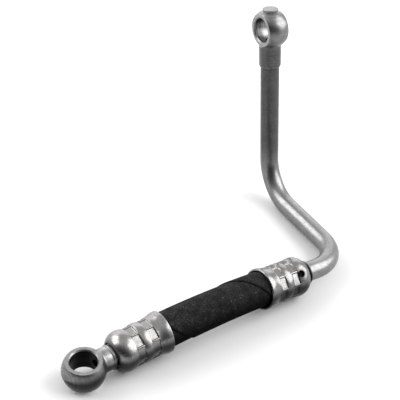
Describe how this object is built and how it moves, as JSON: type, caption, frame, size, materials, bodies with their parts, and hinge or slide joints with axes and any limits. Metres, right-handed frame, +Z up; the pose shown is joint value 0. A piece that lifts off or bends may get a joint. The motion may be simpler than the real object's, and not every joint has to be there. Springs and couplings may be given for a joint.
{
  "type": "oil feed pipe",
  "caption": "Bent steel oil pipe joined to a short rubber hose by crimped ferrules, with a ball-shaped banjo eye at each end.",
  "frame": {"origin": "middle of the part's footprint, on the surface that it lies on", "axes": "+X along the hose from the lower eye to the bent pipe, +Z up with the tall leg of the pipe"},
  "size_m": [0.1482, 0.0874, 0.0865],
  "materials": {
    "eye_steel": "zinc plated, satin",
    "pipe_steel": "zinc plated, satin",
    "ferrule_steel": "zinc plated, bright, pressed by crimping jaws",
    "hose_rubber": "matt black, with the print of the fabric it was cured in"
  },
  "bodies": {
    "root": {"lower_banjo_eye": "eye_steel", "lower_ferrule": "ferrule_steel", "hose": "hose_rubber", "upper_ferrule": "ferrule_steel", "hose_nipple": "ferrule_steel", "bent_pipe": "pipe_steel", "upper_banjo_eye": "eye_steel"}
  },
  "joints": []
}
